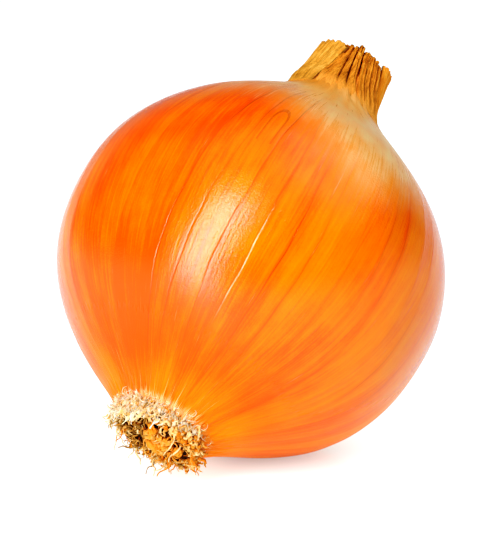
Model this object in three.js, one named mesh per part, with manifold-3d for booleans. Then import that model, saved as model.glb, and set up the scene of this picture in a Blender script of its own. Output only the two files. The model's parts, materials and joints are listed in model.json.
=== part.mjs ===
// A yellow globe onion lying on its side: the bulb in its dry skin, the stubs of its dried leaves round the
// neck, and the tuft of dried roots under its root plate.
//
// Part frame: millimetres, +Z up, standing on the plane z = 0, centred on its own bounding box, with the neck
// leaning towards +X. Each piece is first shaped upright in the onion's own frame, whose z axis runs from the
// middle of the root plate up through the neck, and is then leaned over and set down.

import * as THREE from 'three';
import { mergeVertices } from 'three/addons/utils/BufferGeometryUtils.js';
import Module from 'manifold-3d';

const wasm = await Module();
wasm.setup();

// ---------------------------------------------------------------- driving dimensions

// The globe: a half-ellipse above the equator, and a fuller curve that tapers to the root plate below it.
const BULB_RADIUS = 40.5;
const EQUATOR_HEIGHT = 43.8;
const UPPER_HALF_HEIGHT = 36;
const BELLY_FULLNESS = 27.2; // how far down the side of the bulb stays near its full width
const SHOULDER_HEIGHT = 70; // the globe ends here and the flare of the neck begins

// The neck: a concave flare that narrows into a short dry stump.
const FLARE_LENGTH = 10.8;
const NECK_RADIUS = 7.6;
const NECK_HEIGHT = 90.5;
const STUMP_TOP_RADIUS = 5.6;
const STUMP_TOP_HEIGHT = 96;
const NECK_FLATTENING = 0.06; // the stump is this share wider one way than the other
const NECK_WIDE_SIDE = THREE.MathUtils.degToRad(131);
const NECK_SIDE_STEP = 2.6; // how far the stump stands off the axis, towards its wide side

// The root plate, a shallow disc of hard tissue at the bottom of the bulb.
const PLATE_RADIUS = 9.6;
const PLATE_HEIGHT = 1.2;
const PLATE_RIM = 0.7; // its bevelled rim, where the skin begins
const TAPER_LENGTH = 16.7; // how far the taper above the plate runs straight
const TAPER_ANGLE = THREE.MathUtils.degToRad(41);

// How it lies.
const LEAN = THREE.MathUtils.degToRad(47.2); // from upright, neck towards +X
const FLAT_SPOT_DEPTH = 0.6; // how much of the belly is flattened where it rests

const GAP = 0.35; // clearance between neighbouring pieces
const AROUND = 56; // facets round the bulb
const TABLE_SIZE = 300;

// ---------------------------------------------------------------- the bulb's surface

/** The outline of half a bulb, as a path of (radius, height) from the root plate up to the top of the stump. */
function bulbOutline() {
  const rimRadius = PLATE_RADIUS + PLATE_RIM;
  const rimHeight = PLATE_HEIGHT + PLATE_RIM;
  const shoulderAngle = Math.asin((SHOULDER_HEIGHT - EQUATOR_HEIGHT) / UPPER_HALF_HEIGHT);
  const shoulderRadius = BULB_RADIUS * Math.cos(shoulderAngle);
  const shoulderSlope = -BULB_RADIUS * Math.tan(shoulderAngle) / UPPER_HALF_HEIGHT;
  const neckHandle = 7;

  const outline = new THREE.Path();
  outline.moveTo(0, PLATE_HEIGHT);
  outline.lineTo(PLATE_RADIUS, PLATE_HEIGHT);
  outline.lineTo(rimRadius, rimHeight);
  outline.bezierCurveTo(
    rimRadius + TAPER_LENGTH * Math.cos(TAPER_ANGLE), rimHeight + TAPER_LENGTH * Math.sin(TAPER_ANGLE),
    BULB_RADIUS, EQUATOR_HEIGHT - BELLY_FULLNESS,
    BULB_RADIUS, EQUATOR_HEIGHT,
  );
  outline.absellipse(0, EQUATOR_HEIGHT, BULB_RADIUS, UPPER_HALF_HEIGHT, 0, shoulderAngle);
  outline.bezierCurveTo(
    shoulderRadius + shoulderSlope * FLARE_LENGTH, SHOULDER_HEIGHT + FLARE_LENGTH,
    NECK_RADIUS + 1.2, NECK_HEIGHT - neckHandle,
    NECK_RADIUS, NECK_HEIGHT,
  );
  outline.lineTo(STUMP_TOP_RADIUS, STUMP_TOP_HEIGHT);
  outline.lineTo(0, STUMP_TOP_HEIGHT + 0.4);
  return outline.getPoints(11);
}

const BULB_OUTLINE = bulbOutline();

/** The outline's radius at a height. */
function outlineRadius(height) {
  const above = BULB_OUTLINE.findIndex((point, i) => i > 1 && point.y >= height);
  const high = BULB_OUTLINE[above];
  const low = BULB_OUTLINE[above - 1];
  return THREE.MathUtils.mapLinear(height, low.y, high.y, low.x, high.x);
}

/** How far a height is on its way from the shoulder to the stump, from 0 to 1. */
function neckShare(height) {
  return THREE.MathUtils.smoothstep(height, SHOULDER_HEIGHT, NECK_HEIGHT);
}

/** The slight lobes of the globe, which fade out towards the stump, and the flattening of the stump. */
function roundness(angle, height) {
  const neck = neckShare(height);
  const lobes = 0.007 * Math.cos(3 * angle + 0.7) + 0.004 * Math.cos(7 * angle + 2.1);
  const flattened = NECK_FLATTENING * Math.cos(2 * (angle - NECK_WIDE_SIDE));
  return 1 + (1 - neck) * lobes + neck * flattened;
}

/** A point on the onion, from its angle round the axis, its height and its distance from the surface's middle. */
function place(angle, height, radius) {
  const reach = radius * roundness(angle, height);
  const step = NECK_SIDE_STEP * neckShare(height);
  return new THREE.Vector3(
    reach * Math.cos(angle) + step * Math.cos(NECK_WIDE_SIDE),
    reach * Math.sin(angle) + step * Math.sin(NECK_WIDE_SIDE),
    height,
  );
}

// ---------------------------------------------------------------- helpers

/** Moves every vertex of a geometry to where a function of its position says. */
function reshape(geometry, move) {
  const positions = geometry.getAttribute('position');
  const point = new THREE.Vector3();
  for (let i = 0; i < positions.count; i += 1) {
    point.fromBufferAttribute(positions, i);
    const moved = move(point);
    positions.setXYZ(i, moved.x, moved.y, moved.z);
  }
  return geometry;
}

/** A geometry with only positions, its shared vertices merged, as a manifold-3d solid. */
function toSolid(geometry) {
  const bare = geometry.clone();
  bare.deleteAttribute('normal');
  bare.deleteAttribute('uv');
  const merged = mergeVertices(bare, 1e-4);
  return new wasm.Manifold(new wasm.Mesh({
    numProp: 3,
    vertProperties: merged.getAttribute('position').array,
    triVerts: new Uint32Array(merged.index.array),
  }));
}

/** A manifold-3d solid as a geometry. */
function toGeometry(solid) {
  const mesh = solid.getMesh();
  const geometry = new THREE.BufferGeometry();
  geometry.setAttribute('position', new THREE.BufferAttribute(mesh.vertProperties, 3));
  geometry.setIndex(new THREE.BufferAttribute(mesh.triVerts, 1));
  geometry.computeVertexNormals();
  return geometry;
}

/** How low the belly hangs below the middle of the root plate, once the onion is leaned over. */
function bellyDrop() {
  const heights = BULB_OUTLINE.map(
    (point) => point.y * Math.cos(LEAN) - point.x * roundness(0, point.y) * Math.sin(LEAN),
  );
  return -Math.min(...heights);
}

const SET_DOWN = new THREE.Matrix4()
  .makeTranslation(0, 0, bellyDrop() - FLAT_SPOT_DEPTH)
  .multiply(new THREE.Matrix4().makeRotationY(LEAN));

/** Leans an upright piece over, sets it down, and takes off what would reach below the table. */
function settle(upright) {
  const leaning = toSolid(upright.clone().applyMatrix4(SET_DOWN));
  const belowTable = new THREE.BoxGeometry(TABLE_SIZE, TABLE_SIZE, TABLE_SIZE);
  belowTable.translate(0, 0, -TABLE_SIZE / 2);
  return toGeometry(leaning.subtract(toSolid(belowTable)));
}

function piece(name, upright, material) {
  const mesh = new THREE.Mesh(settle(upright), material);
  mesh.name = name;
  return mesh;
}

// ---------------------------------------------------------------- materials

const drySkin = new THREE.MeshStandardMaterial({ color: '#f07a18', roughness: 0.36, metalness: 0 });
const driedLeaf = new THREE.MeshStandardMaterial({ color: '#c98428', roughness: 0.7, metalness: 0 });
const driedRoot = new THREE.MeshStandardMaterial({ color: '#b98545', roughness: 0.85, metalness: 0 });

// ---------------------------------------------------------------- pieces

/** The bulb in its skin, with its root plate and the stump of its neck, all grown as one. */
function bulb() {
  const turned = new THREE.LatheGeometry(BULB_OUTLINE, AROUND).rotateX(Math.PI / 2);
  return reshape(turned, (p) => place(Math.atan2(p.y, p.x), p.z, Math.hypot(p.x, p.y)));
}

/**
 * A dried leaf's stub: a curved plate that hugs the neck from its foot on the shoulder up to its cut top.
 * Its foot and its top each run from one angle round the axis to another, in degrees, so a stub can lean
 * sideways. The top slopes from one side to the other and is frayed, and the outer face can be pleated.
 */
function leafStub({ foot, top, standOff, thickness, pleats, pleatDepth, fray }) {
  const plate = new THREE.BoxGeometry(1, 1, 1, 24, 9, 1).translate(0.5, 0.5, 0.5);
  return reshape(plate, (p) => {
    const { x: side, y: rise, z: outwards } = p;
    const start = THREE.MathUtils.lerp(foot.from, top.from, rise);
    const end = THREE.MathUtils.lerp(foot.to, top.to, rise);
    const angle = THREE.MathUtils.degToRad(THREE.MathUtils.lerp(start, end, side));
    const ragged = fray * Math.sin(side * 23) * Math.cos(side * 9);
    const cut = THREE.MathUtils.lerp(top.startHeight, top.endHeight, side) + ragged;
    const height = THREE.MathUtils.lerp(foot.height, cut, rise);
    const ribs = pleatDepth * rise * Math.abs(Math.sin(Math.PI * pleats * side));
    const inside = outlineRadius(Math.min(height, STUMP_TOP_HEIGHT)) + GAP + standOff * rise;
    return place(angle, height, inside + (thickness + ribs) * outwards);
  });
}

/** The tuft of dried roots: a lumpy cushion under the root plate. */
function rootTuft() {
  const outline = new THREE.Path();
  outline.moveTo(0, -4);
  outline.bezierCurveTo(4, -4.4, 7.4, -4.2, 8.8, -3);
  outline.bezierCurveTo(10.2, -1.8, 10.4, -0.4, 9.4, PLATE_HEIGHT - GAP);
  outline.lineTo(0, PLATE_HEIGHT - GAP);
  const cushion = new THREE.LatheGeometry(outline.getPoints(7), 36).rotateX(Math.PI / 2);
  return reshape(cushion, (p) => {
    const angle = Math.atan2(p.y, p.x);
    const lumps = 1 + 0.05 * Math.cos(5 * angle + 1) + 0.035 * Math.cos(9 * angle + 0.9 * p.z);
    return p.clone().set(p.x * lumps, p.y * lumps, p.z);
  });
}

const LEAF_STUBS = {
  leaf_stub_left: {
    foot: { from: 96, to: 180, height: 84.5 },
    top: { from: 98, to: 196, startHeight: 98, endHeight: 97 },
    standOff: 0.5, thickness: 0.9, pleats: 2, pleatDepth: 0.2, fray: 0.4,
  },
  leaf_stub_front: {
    foot: { from: 187, to: 236, height: 86 },
    top: { from: 200, to: 218, startHeight: 96.2, endHeight: 97.4 },
    standOff: 0.2, thickness: 0.7, pleats: 1, pleatDepth: 0.3, fray: 0.3,
  },
  leaf_stub_pleated: {
    foot: { from: 241, to: 284, height: 85 },
    top: { from: 223, to: 264, startHeight: 97.6, endHeight: 96.4 },
    standOff: 0.4, thickness: 0.7, pleats: 4, pleatDepth: 0.7, fray: 0.3,
  },
  leaf_stub_back: {
    foot: { from: 291, to: 350, height: 88 },
    top: { from: 272, to: 345, startHeight: 97.4, endHeight: 97.8 },
    standOff: 0.2, thickness: 0.6, pleats: 1, pleatDepth: 0.1, fray: 0.2,
  },
};

// ---------------------------------------------------------------- assembly

const onion = new THREE.Group();
onion.name = 'onion';
onion.add(piece('bulb', bulb(), drySkin));
for (const [name, shape] of Object.entries(LEAF_STUBS)) {
  onion.add(piece(name, leafStub(shape), driedLeaf));
}
onion.add(piece('root_tuft', rootTuft(), driedRoot));

const middle = new THREE.Box3().setFromObject(onion, true).getCenter(new THREE.Vector3());
onion.position.set(-middle.x, -middle.y, 0);

export default onion;
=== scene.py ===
"""A yellow globe onion lying on a white studio floor.

The bulb is in its glossy dry skin, with the cut stubs of its dried leaves round the neck and the tuft of
dried roots under its root plate. Every piece is first shaped upright, in millimetres, in the onion's own
frame, whose z axis runs from the middle of the root plate up through the neck. It is then leaned over and set
down in metres.
"""

import json
import logging
import math
from collections.abc import Callable, Sequence
from dataclasses import dataclass, field
from enum import Enum

import bpy
import numpy as np
from mathutils import Matrix, Vector

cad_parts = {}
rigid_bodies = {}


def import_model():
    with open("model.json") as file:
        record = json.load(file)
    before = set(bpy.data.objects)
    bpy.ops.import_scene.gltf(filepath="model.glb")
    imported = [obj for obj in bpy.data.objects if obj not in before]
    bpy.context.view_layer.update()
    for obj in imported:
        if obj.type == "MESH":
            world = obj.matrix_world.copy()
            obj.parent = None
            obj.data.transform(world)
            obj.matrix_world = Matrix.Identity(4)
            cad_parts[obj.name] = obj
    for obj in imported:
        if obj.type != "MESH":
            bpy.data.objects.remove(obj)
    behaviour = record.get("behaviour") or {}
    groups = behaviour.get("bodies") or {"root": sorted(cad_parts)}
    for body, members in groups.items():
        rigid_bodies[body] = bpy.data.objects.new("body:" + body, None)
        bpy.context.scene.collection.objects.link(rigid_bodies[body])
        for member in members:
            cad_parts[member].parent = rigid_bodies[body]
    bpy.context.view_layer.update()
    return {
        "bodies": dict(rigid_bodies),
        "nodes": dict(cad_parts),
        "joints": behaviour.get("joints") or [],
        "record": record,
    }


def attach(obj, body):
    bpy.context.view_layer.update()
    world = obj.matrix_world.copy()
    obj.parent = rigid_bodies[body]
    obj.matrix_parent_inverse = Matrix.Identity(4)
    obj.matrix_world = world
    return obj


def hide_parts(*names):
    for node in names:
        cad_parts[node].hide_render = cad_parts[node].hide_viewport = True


LOG = logging.getLogger("onion")

MM = 0.001
LEAN = math.radians(47.2)  # of the onion's axis from upright, neck towards +X
SEAT_MM = Vector((-33.517, -0.322, 10.268))  # foot of the onion's axis in the part frame, as in the solids
NECK_SIDE = math.radians(131)  # the side towards which the neck stands off the axis
NECK_STEP_MM = 2.6
FACING = math.radians(221)  # the side of the onion that is turned to the viewer
GIRTH_RADIUS_MM = 40.5

Array = np.ndarray
Placing = tuple[Vector, Vector, float, float]  # a copy's place in millimetres, direction, size and tone


# ---------------------------------------------------------------- small tools


def linear(colour: str) -> tuple[float, float, float, float]:
    """Turns an sRGB hex colour into a linear one.

    Args:
        colour: six hex digits with a leading hash.

    Returns:
        Linear red, green, blue and an alpha of 1.
    """
    channels = (int(colour[i : i + 2], 16) / 255 for i in (1, 3, 5))
    red, green, blue = (c / 12.92 if c <= 0.04045 else ((c + 0.055) / 1.055) ** 2.4 for c in channels)
    return red, green, blue, 1.0


def node(
    tree: bpy.types.NodeTree,
    kind: str,
    inputs: dict[int | str, object] | None = None,
    output: int | str = 0,
    **settings: object,
) -> bpy.types.NodeSocket | None:
    """Adds a shader node with its settings, values and links.

    Args:
        tree: the node tree it goes into.
        kind: the node's type name.
        inputs: for each input, by name or number, a value or the output socket that feeds it.
        output: the output to give back, by name or number.
        settings: the node's own properties.

    Returns:
        That output of the new node, or None where it has none.
    """
    made = tree.nodes.new(kind)
    for name, value in settings.items():
        setattr(made, name, value)
    for key, value in (inputs or {}).items():
        if isinstance(value, bpy.types.NodeSocket):
            tree.links.new(value, made.inputs[key])
        else:
            made.inputs[key].default_value = value
    return made.outputs[output] if made.outputs else None


def ramp(colours: bpy.types.NodeSocket, stops: Sequence[tuple[float, str]]) -> bpy.types.NodeSocket:
    """Sets the stops of a colour ramp.

    Args:
        colours: the colour output of the ramp.
        stops: positions from 0 to 1, each with its sRGB hex colour.

    Returns:
        The same output.
    """
    elements = colours.node.color_ramp.elements
    while len(elements) < len(stops):
        elements.new(1.0)
    for element, (position, colour) in zip(elements, stops):
        element.position = position
        element.color = linear(colour)
    return colours


def smooth(low: float, high: float, value: Array) -> Array:
    """Eases from 0 at low to 1 at high."""
    t = np.clip((value - low) / (high - low), 0.0, 1.0)
    return t * t * (3.0 - 2.0 * t)


def hump(middle: float, width: float, value: Array) -> Array:
    """Gives a smooth hump of height 1 at middle, which has mostly died away a width to either side."""
    return np.exp(-(((value - middle) / width) ** 2))


def bezier(points: Sequence[tuple[float, float]], count: int) -> Array:
    """Samples a cubic Bezier curve evenly in its parameter.

    Args:
        points: its four control points.
        count: the number of samples.

    Returns:
        The samples, without the curve's first point.
    """
    p = np.array(points, float)
    t = np.linspace(0.0, 1.0, count + 1)[1:, None]
    return (1 - t) ** 3 * p[0] + 3 * (1 - t) ** 2 * t * p[1] + 3 * (1 - t) * t**2 * p[2] + t**3 * p[3]


def deselect() -> None:
    """Leaves edit mode and deselects every object."""
    if bpy.context.mode != "OBJECT":
        bpy.ops.object.mode_set(mode="OBJECT")
    bpy.ops.object.select_all(action="DESELECT")


def read_points(piece: bpy.types.Object) -> Array:
    """Reads the vertices of a mesh.

    Args:
        piece: the object that has the mesh.

    Returns:
        Their places in millimetres, one to a row.
    """
    points = np.empty(len(piece.data.vertices) * 3)
    piece.data.vertices.foreach_get("co", points)
    return points.reshape(-1, 3) / MM


def write_points(piece: bpy.types.Object, points: Array) -> None:
    """Moves a mesh's vertices to places given in millimetres."""
    piece.data.vertices.foreach_set("co", (points * MM).ravel())
    piece.data.update()


def tag(piece: bpy.types.Object, name: str, values: Array) -> None:
    """Stores a number or a vector at each vertex, for the material to read.

    Args:
        piece: the object that has the mesh.
        name: what the material calls it.
        values: one number or vector to a vertex.
    """
    kind, slot = ("FLOAT", "value") if values.ndim == 1 else ("FLOAT_VECTOR", "vector")
    attribute = piece.data.attributes.new(name, kind, "POINT")
    attribute.data.foreach_set(slot, np.ascontiguousarray(values, np.float32).ravel())


def lean_over(points: Array) -> Array:
    """Takes points from the onion's own frame to the part frame, both in millimetres.

    Args:
        points: places in the onion's own frame, one to a row.

    Returns:
        The same places in the part frame.
    """
    x, y, z = points.T
    cos, sin = math.cos(LEAN), math.sin(LEAN)
    return np.stack([x * cos + z * sin, y, z * cos - x * sin], axis=1) + np.array(SEAT_MM)


def step_neck(reach: Array, bearing: Array, height: Array, neck: Array) -> Array:
    """Sets points about the axis, which steps aside as it runs up into the neck.

    Args:
        reach: how far each point is from the axis.
        bearing: its bearing round the axis.
        height: its height up the axis.
        neck: how much of the step it has made, from 0 to 1.

    Returns:
        The points in the onion's own frame, in millimetres.
    """
    step = NECK_STEP_MM * neck
    x = reach * np.cos(bearing) + step * math.cos(NECK_SIDE)
    y = reach * np.sin(bearing) + step * math.sin(NECK_SIDE)
    return np.stack([x, y, height], axis=1)


def thicken(piece: bpy.types.Object, thickness: float) -> None:
    """Gives a sheet a thickness, inwards.

    Args:
        piece: the sheet.
        thickness: in millimetres.
    """
    bpy.context.view_layer.objects.active = piece
    wall = piece.modifiers.new("wall", "SOLIDIFY")
    wall.thickness = thickness * MM
    wall.offset = -1.0
    bpy.ops.object.modifier_apply(modifier="wall")


def keep_mesh(piece: bpy.types.Object) -> bpy.types.Mesh:
    """Takes the mesh out of an object that was only needed to model it.

    Args:
        piece: the object, which is deleted.

    Returns:
        Its mesh.
    """
    mesh = piece.data
    bpy.data.objects.remove(piece)
    return mesh


def finish_piece(piece: bpy.types.Object, material: bpy.types.Material, slot: str, *nodes: str) -> None:
    """Shades a finished piece, dresses it and ties it to the frame.

    Args:
        piece: the finished object.
        material: its finish.
        slot: the record's material slot that it stands for; not used.
        nodes: the solids that it stands for.
    """
    deselect()
    piece.select_set(True)
    bpy.context.view_layer.objects.active = piece
    bpy.ops.object.shade_smooth()
    piece.data.materials.clear()
    piece.data.materials.append(material)
    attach(piece, "root")
    if nodes:
        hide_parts(*nodes)
    LOG.info("%s: %d faces", piece.name, len(piece.data.polygons))


# ---------------------------------------------------------------- finishes


def blank_material(name: str) -> tuple[bpy.types.Material, bpy.types.NodeTree]:
    """Makes a material whose node tree is empty.

    Args:
        name: the material's name.

    Returns:
        The material and its tree.
    """
    made = bpy.data.materials.new(name)
    made.use_nodes = True
    made.node_tree.nodes.clear()
    return made, made.node_tree


@dataclass(frozen=True)
class PaperySkin:
    """The outer dry skin of a yellow onion: a cured, translucent leaf base, glossy and finely ribbed."""

    amber: str = "#ff9302"
    orange: str = "#fc7f00"
    russet: str = "#f45c00"
    vein: str = "#c65004"
    straw: str = "#ffdc9c"
    straw_dark: str = "#ffc074"
    husk: str = "#f2a24c"
    pale: str = "#f7d8a4"
    roughness: float = 0.06
    band_mm: tuple[float, float] = (1 / 0.16, 1 / 0.014)  # across and along the skin
    fibre_mm: tuple[float, float] = (1 / 1.9, 1 / 0.07)
    cloud_mm: tuple[float, float] = (1 / 0.22, 1 / 0.16)
    crinkle_mm: float = 1 / 2.2
    relief_mm: float = 0.09

    def material(self) -> bpy.types.Material:
        """Builds the finish.

        Returns:
            The material, which reads the vertex tags that BulbSkin stores.
        """
        made, tree = blank_material("papery_skin")
        grain, split = (
            node(tree, "ShaderNodeAttribute", output="Vector", attribute_name=name)
            for name in ("grain", "split")
        )
        tone, rib, vein, crisp, tear, straw, husk, pale, dry = (
            node(tree, "ShaderNodeAttribute", output="Fac", attribute_name=name)
            for name in ("tone", "rib", "vein", "crisp", "tear", "straw", "husk", "pale", "dry")
        )

        # Bands run from root to neck, and fibres lie about half a millimetre apart. A crinkle finer than that
        # is all over, and cloudy patches show where the skin is thicker or thinner.
        broad, fibre, cloud = (
            node(
                tree,
                "ShaderNodeTexNoise",
                {
                    "Vector": node(
                        tree, "ShaderNodeMapping", {0: grain, "Scale": (1 / across, 1 / across, 1 / along)}
                    ),
                    "Scale": 1.0,
                    "Detail": detail,
                    "Roughness": uneven,
                },
            )
            for (across, along), detail, uneven in (
                (self.band_mm, 3.0, 0.5),
                (self.fibre_mm, 5.0, 0.62),
                (self.cloud_mm, 6.0, 0.5),
            )
        )
        crinkle = node(
            tree,
            "ShaderNodeTexNoise",
            {"Vector": grain, "Scale": 1 / self.crinkle_mm, "Detail": 3.0, "Roughness": 0.6},
        )
        depth = tone
        for pattern, weight in ((crinkle, 0.5), (broad, 0.85), (cloud, 0.7), (fibre, 1.7)):
            depth = node(tree, "ShaderNodeMath", {0: pattern, 1: weight, 2: depth}, operation="MULTIPLY_ADD")
        depth = node(tree, "ShaderNodeMapRange", {"Value": depth, "From Min": 1.15, "From Max": 2.45})
        body = ramp(
            node(tree, "ShaderNodeValToRGB", {0: depth}),
            [(0.0, self.amber), (0.5, self.orange), (1.0, self.russet)],
        )

        # A vein shows as a thin dark line in a soft russet band.
        band = node(
            tree,
            "ShaderNodeMapRange",
            {"Value": rib, "From Min": 0.1, "From Max": 1.3, "To Min": 0.75, "To Max": 0.0},
        )
        band = node(tree, "ShaderNodeMath", {0: band, 1: vein}, operation="MULTIPLY")
        line = node(
            tree,
            "ShaderNodeMapRange",
            {"Value": rib, "From Min": 0.05, "From Max": 0.2, "To Min": 1.0, "To Max": 0.0},
        )
        line = node(tree, "ShaderNodeMath", {0: line, 1: crisp}, operation="MULTIPLY")
        # The rim of the small hairpin split is where its own distance is 1.
        split = node(tree, "ShaderNodeVectorMath", {0: split}, output="Value", operation="LENGTH")
        split = node(tree, "ShaderNodeMath", {0: split, 1: 1.0, 2: 0.14}, operation="COMPARE")
        split = node(tree, "ShaderNodeMath", {0: split, 1: 0.6}, operation="MULTIPLY")

        # Round the neck the colour has gone out of the skin and left it straw, then husk brown.
        fray = node(tree, "ShaderNodeMath", {0: fibre, 1: 0.7, 2: -0.5}, operation="MULTIPLY_ADD")
        fray = node(tree, "ShaderNodeMath", {0: cloud, 1: 0.3, 2: fray}, operation="MULTIPLY_ADD")
        bleached = node(tree, "ShaderNodeMath", {0: straw, 1: fray}, operation="ADD")
        bleached = node(
            tree,
            "ShaderNodeMapRange",
            {"Value": bleached, "From Min": 0.15, "From Max": 1.25},
            interpolation_type="SMOOTHSTEP",
        )
        straws = ramp(
            node(tree, "ShaderNodeValToRGB", {0: cloud}), [(0.26, self.straw_dark), (0.7, self.straw)]
        )
        husky = node(tree, "ShaderNodeMath", {0: husk, 1: fray}, operation="ADD")
        husky = node(tree, "ShaderNodeMapRange", {"Value": husky, "From Min": 0.3, "From Max": 1.0})

        # Pale streaks fan out from the root plate.
        streak = node(tree, "ShaderNodeMath", {0: fibre, 1: 3.0, 2: -1.6}, operation="MULTIPLY_ADD")
        streak = node(tree, "ShaderNodeMath", {0: pale, 1: streak}, operation="ADD")
        streak = node(
            tree,
            "ShaderNodeMapRange",
            {"Value": streak, "From Min": 0.3, "From Max": 1.0},
            interpolation_type="SMOOTHSTEP",
        )
        # The pale line along the tear is a painted highlight on its lifted edge.
        for share, colour in (
            (band, linear(self.russet)),
            (line, linear(self.vein)),
            (tear, linear(self.pale)),
            (split, linear(self.vein)),
            (bleached, straws),
            (husky, linear(self.husk)),
            (streak, linear(self.pale)),
        ):
            body = node(tree, "ShaderNodeMix", {0: share, 6: body, 7: colour}, output=2, data_type="RGBA")

        # The surface is ribbed by its fibres and very finely crinkled, and loses its gloss towards the roots.
        relief = node(tree, "ShaderNodeMath", {0: crinkle, 1: 1.1, 2: fibre}, operation="MULTIPLY_ADD")
        bump = node(
            tree, "ShaderNodeBump", {"Strength": 0.55, "Distance": self.relief_mm * MM, "Height": relief}
        )
        dull = node(
            tree,
            "ShaderNodeMapRange",
            {"Value": bleached, "To Min": self.roughness, "To Max": self.roughness + 0.22},
        )
        dull = node(tree, "ShaderNodeMath", {0: fibre, 1: 0.14, 2: dull}, operation="MULTIPLY_ADD")
        dull = node(tree, "ShaderNodeMath", {0: dry, 1: 0.3, 2: dull}, operation="MULTIPLY_ADD")
        gloss = node(tree, "ShaderNodeMapRange", {"Value": dry, "To Min": 0.66, "To Max": 0.3})
        shader = node(
            tree,
            "ShaderNodeBsdfPrincipled",
            {
                "Base Color": body,
                "Roughness": dull,
                "Normal": bump,
                "IOR": 1.5,
                "Specular IOR Level": gloss,
                "Specular Tint": (1.0, 0.92, 0.96, 1.0),
            },
        )
        node(tree, "ShaderNodeOutputMaterial", {"Surface": shader})
        return made


@dataclass(frozen=True)
class DriedLeaf:
    """A cut leaf base that has dried to a stiff, fibrous straw, matte and freckled, with painted shade in its
    clefts and along its edges.
    """

    name: str
    light: str
    middle: str
    dark: str
    foot: str
    painted_crease_shade: str = "#3a1c06"
    fibre_mm: tuple[float, float] = (1 / 3.2, 1 / 0.22)  # across and along the leaf
    blotch_mm: tuple[float, float] = (1 / 0.55, 1 / 0.3)
    freckle_mm: float = 1 / 1.7
    relief_mm: float = 0.22

    def material(self) -> bpy.types.Material:
        """Builds the finish.

        Returns:
            The material, which reads the vertex tags that LeafStub stores.
        """
        made, tree = blank_material(self.name)
        grain = node(tree, "ShaderNodeAttribute", output="Vector", attribute_name="grain")
        painted_crease_shade, foot = (
            node(tree, "ShaderNodeAttribute", output="Fac", attribute_name=name)
            for name in ("painted_crease_shade", "foot")
        )
        fibre, blotch = (
            node(
                tree,
                "ShaderNodeTexNoise",
                {
                    "Vector": node(
                        tree, "ShaderNodeMapping", {0: grain, "Scale": (1 / across, 1 / along, 1.0)}
                    ),
                    "Scale": 1.0,
                    "Detail": 6.0,
                    "Roughness": uneven,
                },
            )
            for (across, along), uneven in ((self.fibre_mm, 0.65), (self.blotch_mm, 0.7))
        )
        freckle = node(
            tree,
            "ShaderNodeTexNoise",
            {"Vector": grain, "Scale": 1 / self.freckle_mm, "Detail": 4.0, "Roughness": 0.7},
        )
        depth = node(tree, "ShaderNodeMath", {0: fibre, 1: blotch}, operation="ADD")
        depth = node(tree, "ShaderNodeMapRange", {"Value": depth, "From Min": 0.7, "From Max": 1.3})
        spots = node(
            tree, "ShaderNodeMapRange", {"Value": freckle, "From Min": 0.62, "From Max": 0.74, "To Max": 0.6}
        )
        body = ramp(
            node(tree, "ShaderNodeValToRGB", {0: depth}),
            [(0.0, self.light), (0.5, self.middle), (1.0, self.dark)],
        )
        # The dark crease colour is painted shade in the clefts and along the edges.
        for share, colour in ((spots, self.dark), (foot, self.foot), (painted_crease_shade, self.painted_crease_shade)):
            body = node(
                tree, "ShaderNodeMix", {0: share, 6: body, 7: linear(colour)}, output=2, data_type="RGBA"
            )
        bump = node(
            tree, "ShaderNodeBump", {"Strength": 0.9, "Distance": self.relief_mm * MM, "Height": fibre}
        )
        shader = node(
            tree,
            "ShaderNodeBsdfPrincipled",
            {"Base Color": body, "Normal": bump, "Roughness": 0.62, "Specular IOR Level": 0.3},
        )
        node(tree, "ShaderNodeOutputMaterial", {"Surface": shader})
        return made


@dataclass(frozen=True)
class DriedRoot:
    """Wiry roots dried to a brittle tan, paler and browner from one to the next."""

    stops: tuple[tuple[float, str], ...] = (
        (0.0, "#fff6dc"),
        (0.18, "#ffe6b4"),
        (0.34, "#f8c987"),
        (0.5, "#eea44c"),
        (0.64, "#f28f2c"),
        (0.74, "#bf8f52"),
        (0.86, "#8a6230"),
        (1.0, "#4a2a10"),
    )
    mottle_mm: float = 1 / 1.4
    relief_mm: float = 0.2

    def material(self) -> bpy.types.Material:
        """Builds the finish.

        Returns:
            The material, which reads each root's own tone from its vertex tag.
        """
        made, tree = blank_material("dried_root")
        tone = node(tree, "ShaderNodeAttribute", output="Fac", attribute_name="tone")
        place = node(tree, "ShaderNodeTexCoord", output="Object")
        mottle = node(
            tree,
            "ShaderNodeTexNoise",
            {"Vector": place, "Scale": 1 / (self.mottle_mm * MM), "Detail": 4.0, "Roughness": 0.7},
        )
        depth = node(tree, "ShaderNodeMath", {0: mottle, 1: 0.4, 2: tone}, operation="MULTIPLY_ADD")
        depth = node(tree, "ShaderNodeMath", {0: depth, 1: 0.2}, operation="SUBTRACT")
        body = ramp(node(tree, "ShaderNodeValToRGB", {0: depth}), self.stops)
        bump = node(
            tree, "ShaderNodeBump", {"Strength": 0.8, "Distance": self.relief_mm * MM, "Height": mottle}
        )
        shader = node(
            tree,
            "ShaderNodeBsdfPrincipled",
            {"Base Color": body, "Normal": bump, "Roughness": 0.7, "Specular IOR Level": 0.3},
        )
        node(tree, "ShaderNodeOutputMaterial", {"Surface": shader})
        return made


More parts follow.
